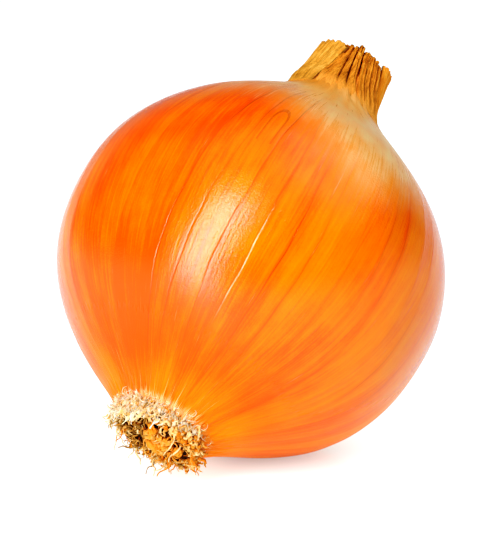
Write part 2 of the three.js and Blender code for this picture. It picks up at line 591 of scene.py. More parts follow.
@dataclass(frozen=True)
class FrayedSkin:
    """Skin frayed to cottony fibres where it was torn off round the root plate; light soaks through it."""

    bleached: str = "#fff8e4"
    cream: str = "#ffe6b0"
    tan: str = "#f6b060"
    fuzz: float = 0.25
    soak_mm: float = 0.6

    def material(self) -> bpy.types.Material:
        """Builds the finish.

        Returns:
            The material, which reads each fibre's own tone from its vertex tag.
        """
        made, tree = blank_material("frayed_skin")
        tone = node(tree, "ShaderNodeAttribute", output="Fac", attribute_name="tone")
        body = ramp(
            node(tree, "ShaderNodeValToRGB", {0: tone}),
            [(0.04, self.bleached), (0.22, self.cream), (0.42, self.tan)],
        )
        shader = node(
            tree,
            "ShaderNodeBsdfPrincipled",
            {
                "Base Color": body,
                "Roughness": 0.8,
                "Specular IOR Level": 0.2,
                "Sheen Weight": self.fuzz,
                "Sheen Roughness": 0.6,
                "Sheen Tint": linear(self.cream),
                "Subsurface Weight": 0.25,
                "Subsurface Scale": self.soak_mm * MM,
                "Subsurface Radius": (1.0, 0.9, 0.7),
            },
        )
        node(tree, "ShaderNodeOutputMaterial", {"Surface": shader})
        return made


@dataclass(frozen=True)
class StudioFloor:
    """White acrylic sheet over a light table, with a soft sheen that mirrors only faintly, and a painted
    shadow where the onion stands.
    """

    colour: str = "#9cc6d4"
    roughness: float = 0.2
    glow: float = 0.79
    painted_shadow_share: float = 0.35  # share of the glow that is left right under the onion, as a painted shadow
    painted_shadow_mm: float = 26.0

    def material(self) -> bpy.types.Material:
        """Builds the finish.

        Returns:
            The material, whose glow fades to a painted shadow where the onion stands on the sheet.
        """
        made, tree = blank_material("studio_floor")
        place = node(tree, "ShaderNodeTexCoord", output="Object")
        away = node(tree, "ShaderNodeVectorMath", {0: place}, output="Value", operation="LENGTH")
        # Painted shadow: the glow fades towards the spot where the onion stands.
        glow = node(
            tree,
            "ShaderNodeMapRange",
            {
                "Value": away,
                "From Min": 0.0,
                "From Max": self.painted_shadow_mm * MM,
                "To Min": self.painted_shadow_share * self.glow,
                "To Max": self.glow,
            },
            interpolation_type="SMOOTHSTEP",
        )
        shader = node(
            tree,
            "ShaderNodeBsdfPrincipled",
            {
                "Base Color": linear(self.colour),
                "Roughness": self.roughness,
                "Specular IOR Level": 0.3,
                "Emission Color": (1.0, 1.0, 1.0, 1.0),
                "Emission Strength": glow,
            },
        )
        node(tree, "ShaderNodeOutputMaterial", {"Surface": shader})
        return made


# ---------------------------------------------------------------- bulb


@dataclass
class SkinPlaces:
    """Where each vertex of the turned bulb lies on the skin, in millimetres and radians."""

    radius: Array  # from the axis
    height: Array  # up the axis
    along: Array  # along the skin, from the rim of the root plate
    panel: Array  # number of the panel it is on
    share: Array  # how far across that panel, from 0 to 1
    bearing: Array  # round the axis
    rib: Array  # from the nearest vein

    @property
    def local(self) -> Array:
        """The girth here as a share of the largest."""
        return np.clip(self.radius / GIRTH_RADIUS_MM, 0.05, 1.0)

    @property
    def body(self) -> Array:
        """How much this is the body of the bulb, rather than its root plate or neck."""
        return smooth(4, 16, self.along) * smooth(88, 80, self.height)

    @property
    def away(self) -> Array:
        """How far round this is on the side where the veins are faint."""
        turned = self.bearing - FACING
        return smooth(math.radians(4), math.radians(20), turned) * smooth(math.pi, 2.6, turned)


@dataclass
class BulbSkin:
    """The bulb in its skin, with the root plate below and the neck that the skin runs up into.

    The outline is turned about the axis. Its meridians are then moved onto the veins, so that each vein is a
    crisp furrow between two gently flattened panels of skin. Sizes are in millimetres, angles in radians.
    """

    equator_height: float = 43.8
    upper_half_height: float = 36.0
    belly_fullness: float = 27.2
    shoulder_height: float = 70.0
    flare_length: float = 10.8
    neck_radius: float = 7.6
    neck_height: float = 90.5
    stump_radius: float = 5.6
    stump_height: float = 96.0
    plate_radius: float = 9.6
    plate_height: float = 1.2
    plate_rim: float = 0.7
    taper_length: float = 16.7
    taper_angle: float = math.radians(41)
    panels: int = 40
    row_spacing: float = 0.72
    first_vein: float = math.radians(217.6)
    furrow_depth: float = 0.07
    tear_lip: float = 0.045
    straw_side: float = math.radians(236)
    straw_height: float = 79.0
    straw_drop: float = 23.0
    hairpin_side: float = math.radians(205.7)
    hairpin_along: float = 68.0
    across: tuple[float, ...] = (0, 0.01, 0.03, 0.07, 0.16, 0.32, 0.5, 0.68, 0.84, 0.93, 0.97, 0.99)
    seed: int = 7
    outline: Array = field(init=False)
    along: Array = field(init=False)

    def __post_init__(self) -> None:
        """Works out the outline and how far along it each row is."""
        rim = (self.plate_radius + self.plate_rim, self.plate_height + self.plate_rim)
        top_angle = math.asin((self.shoulder_height - self.equator_height) / self.upper_half_height)
        turn = np.linspace(0, top_angle, 80)[1:]
        upper_height = self.equator_height + self.upper_half_height * np.sin(turn)
        upper = np.stack([GIRTH_RADIUS_MM * np.cos(turn), upper_height], axis=1)
        shoulder = upper[-1]
        slope = -GIRTH_RADIUS_MM * math.tan(top_angle) / self.upper_half_height
        lower = bezier(
            [
                rim,
                (
                    rim[0] + self.taper_length * math.cos(self.taper_angle),
                    rim[1] + self.taper_length * math.sin(self.taper_angle),
                ),
                (GIRTH_RADIUS_MM, self.equator_height - self.belly_fullness),
                (GIRTH_RADIUS_MM, self.equator_height),
            ],
            160,
        )
        flare = bezier(
            [
                tuple(shoulder),
                (shoulder[0] + slope * self.flare_length, shoulder[1] + self.flare_length),
                (self.neck_radius + 1.2, self.neck_height - 7),
                (self.neck_radius, self.neck_height),
            ],
            80,
        )
        dense = np.vstack([[rim], lower, upper, flare, [(self.stump_radius, self.stump_height)]])
        steps = np.hypot(*np.diff(dense, axis=0).T)
        length = np.concatenate([[0.0], np.cumsum(steps)])
        rows = np.linspace(0, length[-1], int(length[-1] / self.row_spacing))
        body = np.stack([np.interp(rows, length, dense[:, i]) for i in (0, 1)], axis=1)
        plate = np.array([(r, self.plate_height) for r in (0.0, 3.2, 6.4, self.plate_radius)])
        cap = np.array([(3.0, self.stump_height + 0.3), (0.0, self.stump_height + 0.4)])
        self.outline = np.vstack([plate, body, cap])
        self.along = np.concatenate([plate[:, 0] - rim[0], rows, [rows[-1] + 3, rows[-1] + 6]])

    def turned(self) -> bpy.types.Object:
        """Draws the outline point by point and spins it round the axis.

        Returns:
            The round, closed bulb, upright.
        """
        deselect()
        start = self.outline[0]
        bpy.ops.mesh.primitive_plane_add(size=MM, location=(start[0] * MM, 0, start[1] * MM))
        piece = bpy.context.active_object
        piece.name = "bulb_skin"
        bpy.ops.object.transform_apply(location=True, rotation=True, scale=True)
        bpy.ops.object.mode_set(mode="EDIT")
        bpy.ops.mesh.select_all(action="SELECT")
        bpy.ops.mesh.merge(type="CENTER")
        for step in np.diff(self.outline, axis=0):
            bpy.ops.mesh.extrude_region_move(
                TRANSFORM_OT_translate={"value": (step[0] * MM, 0.0, step[1] * MM)}
            )
        bpy.ops.mesh.select_all(action="SELECT")
        bpy.ops.mesh.spin(
            steps=self.panels * len(self.across), angle=math.tau, center=(0, 0, 0), axis=(0, 0, 1)
        )
        bpy.ops.mesh.select_all(action="SELECT")
        bpy.ops.mesh.remove_doubles(threshold=1e-6)
        bpy.ops.mesh.normals_make_consistent(inside=False)
        bpy.ops.object.mode_set(mode="OBJECT")
        return piece

    def vein_bearing(self, vein: Array, along: Array) -> Array:
        """Gives the bearing of a vein, which wanders a little on its way from root to neck.

        Args:
            vein: the vein's number.
            along: how far along the skin from the root plate, in millimetres.

        Returns:
            The bearing round the axis, in radians.
        """
        pitch = math.tau / self.panels
        uneven = 0.12 * np.sin(2.3 * vein) + 0.08 * np.sin(5.1 * vein)
        quick = 0.022 * np.sin(along / 4.3 + 4.0 * np.sin(1.9 * vein))
        quick += 0.012 * np.sin(along / 1.7 + 2.2 * vein)
        slow = 0.06 * np.sin(along / 19 + 2.0 * np.sin(3.1 * vein))
        straight = self.first_vein + pitch * (vein + uneven + slow + quick)
        drawn_in = math.radians(0.2) * (along - 36.0) * np.sin(FACING - self.first_vein - pitch * vein)
        return straight + drawn_in

    def locate(self, piece: bpy.types.Object) -> SkinPlaces:
        """Finds where each vertex of the turned bulb lies on the skin.

        Args:
            piece: the turned bulb.

        Returns:
            The place of every vertex.
        """
        points = read_points(piece)
        radius = np.hypot(points[:, 0], points[:, 1])
        profile = np.stack([radius, points[:, 2]], axis=1)
        # The nearest row of the outline, found for a part of the mesh at a time to save memory.
        rows = np.concatenate(
            [
                np.abs(part[:, None, :] - self.outline[None]).sum(axis=2).argmin(axis=1)
                for part in np.array_split(profile, 24)
            ]
        )
        along = self.along[rows]
        columns = self.panels * len(self.across)
        spun = np.arctan2(points[:, 1], points[:, 0]) % math.tau
        column = np.round(spun * columns / math.tau).astype(int) % columns
        panel = column // len(self.across)
        share = np.array(self.across)[column % len(self.across)]
        here = self.vein_bearing(panel.astype(float), along)
        after = self.vein_bearing((panel + 1.0) % self.panels, along)
        after = here + (after - here) % math.tau
        return SkinPlaces(
            radius=radius,
            height=self.outline[rows, 1],
            along=along,
            panel=panel,
            share=share,
            bearing=(here + share * (after - here)) % math.tau,
            rib=np.minimum(share, 1 - share) * (after - here) * GIRTH_RADIUS_MM,
        )

    def vein_strength(self, skin: SkinPlaces, rng: np.random.Generator) -> tuple[Array, Array]:
        """Gives how strong the nearest vein is, and where the skin is torn along one of them.

        Args:
            skin: the place of every vertex.
            rng: the bulb's run of chance.

        Returns:
            The strength of the nearest vein and of the tear, each from 0 to 1.
        """
        base = rng.uniform(0.15, 1.0, self.panels)
        base[-3:] = 1.0
        phase = rng.uniform(0, math.tau, (4, self.panels))
        nearest = np.where(skin.share < 0.5, skin.panel, (skin.panel + 1) % self.panels)
        quick, slow = np.sin(skin.along / 13 + phase[0][nearest]), np.sin(skin.along / 31 + phase[1][nearest])
        first = np.where(nearest == 0, 1.0, 0.0)
        torn = first * smooth(20, 30, skin.along) * smooth(50, 40, skin.along)
        return np.maximum(base[nearest] * (0.6 + 0.4 * quick * slow), torn), torn

    def relief(self, skin: SkinPlaces, vein: Array, torn: Array, rng: np.random.Generator) -> Array:
        """Gives how far the skin stands off the turned outline.

        Args:
            skin: the place of every vertex.
            vein: the strength of the nearest vein.
            torn: the strength of the tear.
            rng: the bulb's run of chance.

        Returns:
            The relief in millimetres.
        """
        bearing, along, height, share = skin.bearing, skin.along, skin.height, skin.share
        body = skin.body
        # Each panel is a little flatter than the round of the bulb, and tilted.
        heights = rng.uniform(-0.05, 0.05, self.panels)
        sag = rng.uniform(-0.08, 0.02, self.panels)
        tilt = heights[skin.panel] * (1 - share) + heights[(skin.panel + 1) % self.panels] * share
        relief = body * (tilt + sag[skin.panel] * (1 - (2 * share - 1) ** 2))
        relief -= body * self.furrow_depth * vein * (1 - 0.6 * skin.away) * hump(0.0, 0.13, skin.rib)
        relief += self.tear_lip * torn * np.where(share < 0.5, 1.0, -0.3) * hump(0.0, 0.7, skin.rib)

        # Slow lobes, and shallow dents between them.
        relief += 0.28 * np.cos(3 * bearing + 0.7) + 0.16 * np.cos(7 * bearing + 2.1)
        relief += 0.12 * np.sin(5 * bearing + along / 17) * np.sin(along / 23 + 1) * body
        # The shoulder is fuller on one side, and the foot hollower.
        relief += 1.1 * hump(72, 7, height) * hump(math.radians(178), math.radians(32), bearing)
        relief -= 1.0 * smooth(18, 3, along) * hump(math.radians(138), math.radians(30), bearing)
        # Puckers where the skin is drawn in round the neck, and gathers round the root plate.
        folds = np.sin(23 * bearing + along / 6) + 0.6 * np.sin(41 * bearing - along / 9 + 1)
        relief += (0.24 + 0.18 * np.cos(bearing - math.radians(255))) * smooth(76, 90, height) * folds
        gather = smooth(9, 1, along) * (along > -1)
        relief += 0.14 * gather * (np.sin(52 * bearing + along) + np.sin(87 * bearing + 2 - along / 2))
        return relief

    def settle(self, piece: bpy.types.Object, skin: SkinPlaces, relief: Array) -> Array:
        """Moves the skin to where growth put it, leans it over and flattens it where it rests.

        Args:
            piece: the bulb.
            skin: the place of every vertex.
            relief: how far each stands off the turned outline.

        Returns:
            Where each vertex ends up, in the part frame.
        """
        flat = 0.06 * np.cos(2 * (skin.bearing - NECK_SIDE))
        neck = smooth(self.shoulder_height, self.neck_height, skin.height)
        reach = (skin.radius + relief * np.clip(skin.local * 4, 0, 1)) * (1 + neck * flat)
        reach = np.where(skin.radius < 0.01, 0.0, reach)
        leaning = lean_over(step_neck(reach, skin.bearing, skin.height, neck))
        leaning[:, 2] = np.maximum(leaning[:, 2], 0.0)
        write_points(piece, leaning)
        return leaning

    def panel_tone_and_painted_shade(self, skin: SkinPlaces, rng: np.random.Generator) -> Array:
        """Gives the skin's lean to russet (above 0) or amber (below 0), painted shade and painted light
        included.

        Args:
            skin: the place of every vertex.
            rng: the bulb's run of chance.

        Returns:
            The tone of every vertex.
        """
        bearing, along = skin.bearing, skin.along
        shades = rng.uniform(-0.18, 0.18, self.panels)
        drift = rng.uniform(-0.22, 0.22, self.panels)
        mild = np.clip(np.minimum(skin.share, 1 - skin.share) * 40, 0, 1)
        tone = mild * (shades[skin.panel] + drift[skin.panel] * (skin.share - 0.5))
        # Painted shade: russet on the upper left (amber on the lower right), towards the root end and on the
        # upper part.
        tone += 0.22 * np.cos(bearing - math.radians(150)) * smooth(75, 45, along)
        tone += 0.38 * smooth(42, 24, along) * smooth(4, 14, along)
        tone += 0.2 * smooth(48, 62, along) * smooth(math.radians(232), math.radians(215), bearing)
        # Painted light: amber in the middle of the side turned to the viewer.
        tone -= 0.1 * smooth(20, 38, along) * smooth(60, 46, along) * hump(FACING, 0.55, bearing)
        return tone - 0.45 * smooth(math.radians(158), math.radians(134), bearing) * smooth(-1, 1, bearing)

    def grow(self, piece: bpy.types.Object) -> None:
        """Moves the turned surface to where growth put it, and tags it for its finish.

        Args:
            piece: the turned bulb.
        """
        rng = np.random.default_rng(self.seed)
        skin = self.locate(piece)
        vein, torn = self.vein_strength(skin, rng)
        leaning = self.settle(piece, skin, self.relief(skin, vein, torn, rng))
        bearing, along, height, rib = skin.bearing, skin.along, skin.height, skin.rib
        round_girth = GIRTH_RADIUS_MM * np.cos(bearing), GIRTH_RADIUS_MM * np.sin(bearing)
        tag(piece, "grain", np.stack([*round_girth, along], axis=1))
        tag(piece, "tone", self.panel_tone_and_painted_shade(skin, rng))
        tag(piece, "rib", rib * np.clip(skin.local * 1.3, 0.3, 1.0))
        tag(piece, "vein", vein * skin.body * (1 - torn))
        tag(piece, "crisp", np.minimum(1.3 * vein, 1.0) * skin.body * (1 - torn) * (1 - 0.55 * skin.away))
        patchy = 0.65 + 0.35 * np.sin(along * 1.1 + 1.3 * np.sin(along * 2.7))
        # Painted highlight: a pale line along the lifted edge of the tear.
        tag(piece, "tear", 0.5 * torn * patchy * hump(0.05, 0.05, rib))

        # The straw skin round the neck comes down farthest on the side it faces.
        off = (bearing - self.straw_side + math.pi) % math.tau - math.pi
        straw_edge = self.straw_height - self.straw_drop * hump(0.0, 0.6, off)
        # It also comes down on the upper left; there it is partly the skin's own straw and partly a painted
        # pale rim reflection.
        straw_edge -= 10.0 * hump(math.radians(174), math.radians(26), bearing)
        tag(piece, "straw", smooth(-16, 11, height - straw_edge))
        bare = 0.7 * hump(0.0, 0.55, off) * smooth(88, 82, height)
        tag(piece, "husk", smooth(73, 84, height) * (1 - bare))
        tag(piece, "dry", np.maximum(smooth(32, 6, along), smooth(26, 5, leaning[:, 2])))
        frilled = 0.62 + 0.38 * np.cos(bearing - math.radians(178))
        tag(piece, "pale", frilled * (0.36 * smooth(12, 0, along) + 0.5 * smooth(3.0, 0.5, along)))

        # A small split in the skin, shaped like a hairpin that points to the neck.
        sideways = (bearing - self.hairpin_side) * skin.radius / 1.5
        near_it = (along > self.hairpin_along - 7) & (np.abs(sideways) < 6)
        upward = np.maximum(along - self.hairpin_along, 0.0) / 4.5
        hairpin = np.stack([sideways, upward, np.zeros_like(along)], axis=1)
        tag(piece, "split", np.where(near_it[:, None], hairpin, 9.0))

    def build(self) -> bpy.types.Object:
        """Makes and dresses the bulb.

        Returns:
            The finished bulb.
        """
        piece = self.turned()
        self.grow(piece)
        finish_piece(piece, PaperySkin().material(), "onion_skin", "bulb")
        return piece


# ---------------------------------------------------------------- neck


@dataclass
class LeafStub:
    """A dried leaf's stub: a curved, fibrous plate that hugs the neck, frayed at its cut top.

    Bearings are in degrees round the axis, heights and thicknesses in millimetres.
    """

    name: str
    nodes: tuple[str, ...]
    foot_from: float
    foot_to: float
    foot_height: float
    top_from: float
    top_to: float
    top_start: float
    top_end: float
    finish: DriedLeaf
    stand_off: float = 0.6
    lift: float = 0.0
    thickness: float = 0.5
    flutes: float = 3.0
    flute_depth: float = 0.15
    clefts: tuple[tuple[float, float, float], ...] = ()
    fray: float = 0.4
    merge: float = 3.0
    seed: int = 1

    def neck_outline(self, height: Array) -> Array:
        """Gives the neck's outer radius at a height."""
        heights, radii = (80, 83, 86, 88, 90, 93, 96, 99), (15.2, 12.4, 10.2, 9.0, 8.2, 7.6, 7.0, 6.8)
        return np.interp(height, heights, radii)

    def shape(self, piece: bpy.types.Object) -> None:
        """Wraps the flat plate round the neck, flutes and frays it, and tags it for its finish.

        Args:
            piece: a flat grid, one unit each way.
        """
        points = read_points(piece) * MM
        side, rise = points[:, 0] + 0.5, points[:, 1] + 0.5
        waves = np.random.default_rng(self.seed).uniform(0, math.tau, 6)

        start = self.foot_from + (self.top_from - self.foot_from) * rise
        end = self.foot_to + (self.top_to - self.foot_to) * rise
        bearing = np.radians(start + (end - start) * side)
        ragged = sum(self.fray / (1 + i * 0.6) * np.sin(side * (9 + 13 * i) + waves[i]) for i in range(5))
        notch = self.fray * 1.6 * (np.abs(np.sin(side * 31 + waves[5])) ** 8)
        cut = self.top_start + (self.top_end - self.top_start) * side + ragged * 0.6 - notch
        height = self.foot_height + (cut - self.foot_height) * rise

        flute = self.flute_depth * np.sin(math.pi * self.flutes * side) ** 2 * smooth(0, 0.3, rise)
        # Painted shade: the clefts and the edges are marked to be painted dark.
        painted_crease_shade = np.zeros_like(side)
        for place, deep, wide in self.clefts:
            flute = flute - deep * hump(place, wide, side) * smooth(0.02, 0.3, rise)
            painted_crease_shade = np.maximum(painted_crease_shade, hump(place, 0.75 * wide, side) * smooth(0.1, 0.35, rise))
        edge = np.minimum(side, 1 - side)
        painted_crease_shade = np.maximum(painted_crease_shade, 0.8 * smooth(0.02, 0.0, edge))
        fine = 0.05 * np.sin(side * 160 + 3 * np.sin(rise * 4)) + 0.04 * np.sin(side * 97 + 5 * rise)
        off = (self.stand_off + self.lift * side) * rise - 0.9 * smooth(0.3, 0.0, rise)
        curl = 0.25 * smooth(0.06, 0.0, edge) * rise
        reach = self.neck_outline(height) + off + flute + fine - curl
        neck = smooth(70, 90.5, height)
        reach = reach * (1 + neck * 0.06 * np.cos(2 * (bearing - NECK_SIDE)))
        write_points(piece, lean_over(step_neck(reach, bearing, height, neck)))
        arc = np.radians(end - start) * reach * side
        tag(piece, "grain", np.stack([arc, height, np.full_like(side, self.seed * 7.0)], axis=1))
        tag(piece, "painted_crease_shade", 0.85 * painted_crease_shade)
        tag(piece, "foot", smooth(self.foot_height + self.merge, self.foot_height, height))

    def build(self) -> bpy.types.Object:
        """Makes and dresses the stub.

        Returns:
            The finished stub.
        """
        deselect()
        bpy.ops.mesh.primitive_grid_add(x_subdivisions=110, y_subdivisions=64, size=1.0)
        piece = bpy.context.active_object
        piece.name = self.name
        self.shape(piece)
        thicken(piece, self.thickness)
        bpy.ops.object.mode_set(mode="EDIT")
        bpy.ops.mesh.select_all(action="SELECT")
        bpy.ops.mesh.normals_make_consistent(inside=False)
        finish_piece(piece, self.finish.material(), "dried_leaf", *self.nodes)
        return piece


@dataclass
class Neck:
    """The stubs of the dried leaves that stand round the neck, and the loose folds inside them."""

    def build(self) -> list[bpy.types.Object]:
        """Makes and dresses every stub and fold.

        Returns:
            The finished pieces.
        """
        straw = DriedLeaf("leaf_straw", light="#f7c06a", middle="#e0a14c", dark="#93602a", foot="#eda552")
        brown = DriedLeaf("leaf_brown", light="#f7b85c", middle="#d98d3a", dark="#865014", foot="#f2ac5c")
        rust = DriedLeaf("leaf_rust", light="#ffbe62", middle="#ffa640", dark="#d4761e", foot="#e08a2c")
        stubs = [
            LeafStub(
                "dried_leaf_left", ("leaf_stub_left",), 92, 181, 83.6, 98, 199, 97.7, 95.8, straw,
                stand_off=0.7, lift=1.1, thickness=0.9, flutes=5, flute_depth=0.22, seed=3, merge=1.0,
            ),
            LeafStub(
                "dried_leaf_front", ("leaf_stub_front",), 176, 238, 84.5, 192, 219, 95.6, 97.6, brown,
                stand_off=0.9, flutes=3.5, flute_depth=0.35, seed=5, merge=4.0, fray=0.5,
                clefts=((0.55, 0.3, 0.03), (0.8, 0.5, 0.035)),
            ),
            LeafStub(
                "dried_leaf_pleated", ("leaf_stub_pleated",), 233, 291, 84.0, 217, 266, 97.8, 96.0, brown,
                stand_off=0.7, flutes=6, flute_depth=0.45, seed=8, merge=4.5, thickness=0.45,
                clefts=(
                    (0.03, 1.3, 0.035),
                    (0.2, 1.2, 0.03),
                    (0.42, 0.7, 0.025),
                    (0.6, 0.6, 0.022),
                    (0.8, 0.7, 0.022),
                ),
            ),
            LeafStub(
                "dried_leaf_back", ("leaf_stub_back",), 286, 350, 86.5, 268, 345, 97.4, 98.2, rust,
                stand_off=0.9, flutes=3, flute_depth=0.2, seed=13, merge=2.0, fray=0.2,
            ),
        ]
        folds = [
            LeafStub(
                f"inner_fold_{i + 1}", (), start, start + 250, 92.5, start, start + 270,
                97.9 - 0.4 * i, 97.3 - 0.3 * i, brown,
                stand_off=-1.7 - 1.5 * i, flutes=9, flute_depth=0.4, thickness=0.4, merge=1.0, seed=30 + i,
            )
            for i, start in enumerate((150, 330, 95))
        ]
        return [leaf.build() for leaf in stubs + folds]


# ---------------------------------------------------------------- roots


class Tone(Enum):
    """How far a root or flake has browned, on the scale of the root finish."""

    BLEACHED = 0.0
    PALE = 0.26
    TAN = 0.42
    ORANGE = 0.58
    BROWN = 0.74


@dataclass
class RootTuft:
    """The tuft of dried roots under the root plate: a matted cushion, curled roots, and a pale frill.

    Sizes are in millimetres.
    """

    plate_radius: float = 9.6
    matting_depth: float = 2.6
    curls: int = 340
    wisps: int = 30
    clumps: int = 14
    flakes: int = 240
    fluff: int = 1000
    rim_curls: int = 170
    root_thickness: float = 0.5
    cushion_radius: float = 9.3  # of the surface that the roots grow from
    cushion_depth: float = 3.3
    cushion_height: float = 0.7
    reach: float = 10.4  # of the whole tuft; roots that lie deeper in it are painted darker, as painted shade
    depth: float = 4.6
    middle: float = 0.8
    seat: float = 0.35  # roots lower than this are bent to lie on the floor
    hanging: Vector = field(default_factory=lambda: Vector((math.sin(LEAN), 0.0, -math.cos(LEAN))))
    seed: int = 21
    rng: np.random.Generator = field(init=False)

    def __post_init__(self) -> None:
        """Starts the tuft's own run of chance."""
        self.rng = np.random.default_rng(self.seed)

    def strand(self, length: float, thickness: float, curl: float, steps: int = 12) -> bpy.types.Mesh:
        """Models one root, extruded ring by ring and then bent along its growth from the origin.

        Args:
            length: its length in millimetres.
            thickness: its thickness at the foot, in millimetres.
            curl: how far it turns from one ring to the next, in radians.
            steps: its number of rings.

        Returns:
            Its mesh.
        """
        deselect()
        bpy.ops.mesh.primitive_circle_add(vertices=5, radius=0.5 * MM, fill_type="NGON")
        piece = bpy.context.active_object
        bpy.ops.object.mode_set(mode="EDIT")
        bpy.ops.mesh.select_all(action="SELECT")
        for _ in range(steps):
            bpy.ops.mesh.extrude_region_move(TRANSFORM_OT_translate={"value": (0.0, 0.0, MM)})
        bpy.ops.mesh.select_all(action="SELECT")
        bpy.ops.mesh.normals_make_consistent(inside=False)
        bpy.ops.object.mode_set(mode="OBJECT")

        frame = Matrix.Identity(3)
        hinge = Vector(self.rng.normal(0, 1, 3))
        place = Vector((0, 0, 0))
        places, frames = [np.zeros(3)], [np.eye(3)]
        for _ in range(steps):
            hinge += Vector(self.rng.normal(0, 0.7, 3))
            frame = Matrix.Rotation(curl * self.rng.uniform(0.3, 1.5), 3, hinge.normalized()) @ frame
            place = place + frame.col[2] * (length / steps)
            places.append(np.array(place))
            frames.append(np.array(frame))
        points = read_points(piece)
        ring = np.clip(np.round(points[:, 2]).astype(int), 0, steps)
        taper = thickness * (1 - 0.7 * np.arange(steps + 1) / steps) * self.rng.uniform(0.75, 1.3, steps + 1)
        across = np.stack([points[:, 0], points[:, 1], np.zeros(len(points))], axis=1) * taper[ring, None]
        bent = np.array(places)[ring] + np.einsum("nij,nj->ni", np.array(frames)[ring], across)
        write_points(piece, bent)
        return keep_mesh(piece)

    def crumb(self) -> bpy.types.Mesh:
        """Models one crumpled clump of matted root, about two millimetres across.

        Returns:
            Its mesh.
        """
        deselect()
        bpy.ops.mesh.primitive_ico_sphere_add(subdivisions=5, radius=MM)
        piece = bpy.context.active_object
        points = read_points(piece)
        swell = np.full(len(points), 1.15)
        for i in range(1, 6):
            spun = points @ self.rng.normal(0, 1.3 * i**0.8, (3, 3)) + self.rng.uniform(0, 6, 3)
            swell -= 0.42 / i * np.abs(np.sin(spun[:, 0]) * np.cos(spun[:, 1]))
        write_points(piece, points * swell[:, None] * np.array([1.0, 0.8, 0.7]))
        return keep_mesh(piece)

    def flake(self) -> bpy.types.Mesh:
        """Models one shred of torn skin, growing along +Z, curled and ragged.

        Returns:
            Its mesh.
        """
        deselect()
        bpy.ops.mesh.primitive_grid_add(x_subdivisions=3, y_subdivisions=9, size=1.0 * MM)
        piece = bpy.context.active_object
        points = read_points(piece)
        side, rise = points[:, 0], points[:, 1] + 0.5
        width = 0.5 * (1 - 0.75 * rise) * (1 + 0.5 * np.sin(rise * 9 + self.rng.uniform(0, 6)))
        bend, lift = self.rng.uniform(-0.9, 0.9), self.rng.uniform(-0.4, 0.9)
        wave = 0.25 * np.sin(rise * self.rng.uniform(3, 9) + self.rng.uniform(0, 6))
        length = self.rng.uniform(1.4, 3.0)
        shaped = np.stack(
            [side * width * 2 + bend * rise**2, lift * rise**2 + wave + 0.4 * side**2, length * rise], axis=1
        )
        write_points(piece, shaped)
        thicken(piece, 0.09)
        return keep_mesh(piece)

    def scatter(
        self,
        name: str,
        models: Sequence[bpy.types.Mesh],
        count: int,
        place: Callable[[], Placing],
    ) -> bpy.types.Object:
        """Sets copies of a few models about and joins them into one piece.

        Args:
            name: the piece's name.
            models: the meshes to copy.
            count: how many copies to set.
            place: picks where each copy goes, in the onion's own frame.

        Returns:
            The joined piece, leaned over and set down.
        """
        copies = []
        for i in range(count):
            at, along, size, tone = place()
            mesh = models[int(self.rng.integers(len(models)))].copy()
            copy = bpy.data.objects.new(f"{name}_{i}", mesh)
            bpy.context.scene.collection.objects.link(copy)
            spin = Matrix.Rotation(self.rng.uniform(0, math.tau), 4, "Z")
            turn = Vector((0, 0, 1)).rotation_difference(along).to_matrix().to_4x4()
            mesh.transform(Matrix.Translation(at * MM) @ turn @ spin @ Matrix.Scale(size, 4))
            x, y, z = read_points(copy).T
            # Painted shade: a copy that lies deeper in the tuft is made darker.
            shell = np.sqrt((x * x + y * y) / self.reach**2 + (z - self.middle) ** 2 / self.depth**2)
            tag(copy, "tone", tone + 0.7 * np.clip(0.93 - shell, 0.0, 0.5))
            copies.append(copy)
        deselect()
        for copy in copies:
            copy.select_set(True)
        bpy.context.view_layer.objects.active = copies[0]
        bpy.ops.object.join()
        piece = bpy.context.active_object
        piece.name = name
        settled = lean_over(read_points(piece))
        low = settled[:, 2]
        bent = 0.1 + 0.25 * np.exp(np.minimum(low - self.seat, 0.0))
        settled[:, 2] = np.where(low < self.seat, bent, low)
        write_points(piece, settled)
        for mesh in models:
            bpy.data.meshes.remove(mesh)
        return piece

    def cushion_point(self) -> tuple[Vector, Vector]:
        """Picks a place on the rounded underside of the tuft.

        Returns:
            The point and the way out from it.
        """
        bearing = self.rng.uniform(0, math.tau)
        polar = math.acos(1 - 0.72 * self.rng.random())
        flat = math.sin(polar)
        out = Vector((flat * math.cos(bearing), flat * math.sin(bearing), -math.cos(polar)))
        at = Vector((out.x * self.cushion_radius, out.y * self.cushion_radius, out.z * self.cushion_depth))
        return at + Vector((0, 0, self.cushion_height)), out

    def root_tone(self, at: Vector) -> float:
        """Picks a root's tone: browner towards the side the neck leans to, more orange on the other.

        Args:
            at: where the root grows from.

        Returns:
            Its tone.
        """
        browned = at.x * math.cos(NECK_SIDE) + at.y * math.sin(NECK_SIDE)
        if browned > self.rng.normal(0.6, 1.2):
            tones = (Tone.BROWN, Tone.BROWN, Tone.PALE, Tone.BROWN, Tone.TAN)
        else:
            tones = (Tone.ORANGE, Tone.TAN, Tone.PALE, Tone.ORANGE, Tone.TAN)
        return tones[int(self.rng.integers(len(tones)))].value + self.rng.normal(0, 0.05)

    def place_curl(self) -> Placing:
        """Places one tightly curled root on the underside.

        Returns:
            Its place, direction, size and tone.
        """
        at, out = self.cushion_point()
        aim = (out + Vector(self.rng.normal(0, 0.7, 3))).normalized()
        return at, aim, self.rng.uniform(0.6, 1.15), self.root_tone(at)

    def place_wisp(self) -> Placing:
        """Places one longer root that sticks out and hangs.

        Returns:
            Its place, direction, size and tone.
        """
        at, out = self.cushion_point()
        aim = (out * 0.7 + self.hanging * 0.5 + Vector(self.rng.normal(0, 0.45, 3))).normalized()
        return at, aim, self.rng.uniform(0.5, 1.0), self.root_tone(at) - 0.12

